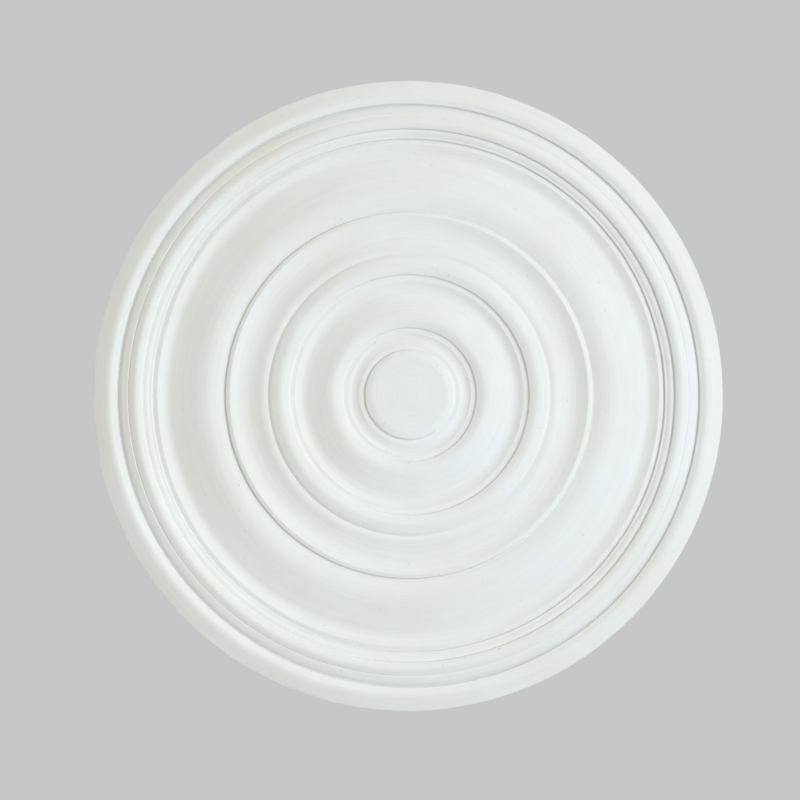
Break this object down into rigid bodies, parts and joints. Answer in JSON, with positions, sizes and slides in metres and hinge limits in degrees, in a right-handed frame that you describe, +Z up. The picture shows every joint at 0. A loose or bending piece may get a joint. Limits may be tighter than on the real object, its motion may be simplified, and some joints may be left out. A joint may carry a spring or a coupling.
{
  "type": "ceiling rose",
  "caption": "Round plain plaster ceiling rose: concentric run mouldings stepping down from a rolled rim to a flat centre plate, flat solid back.",
  "frame": {"origin": "centre of the flat back, on the ceiling plane", "axes": "+Z up, out of the back into the ceiling, along the rose's turning axis; the moulded face looks along -Z; +X is the picture's right and -Y its top"},
  "size_m": [0.75, 0.75, 0.0383],
  "materials": {
    "plaster": "matt white gypsum plaster, unpainted, fine concentric run marks"
  },
  "bodies": {
    "root": {"rose_casting": "plaster"}
  },
  "joints": []
}
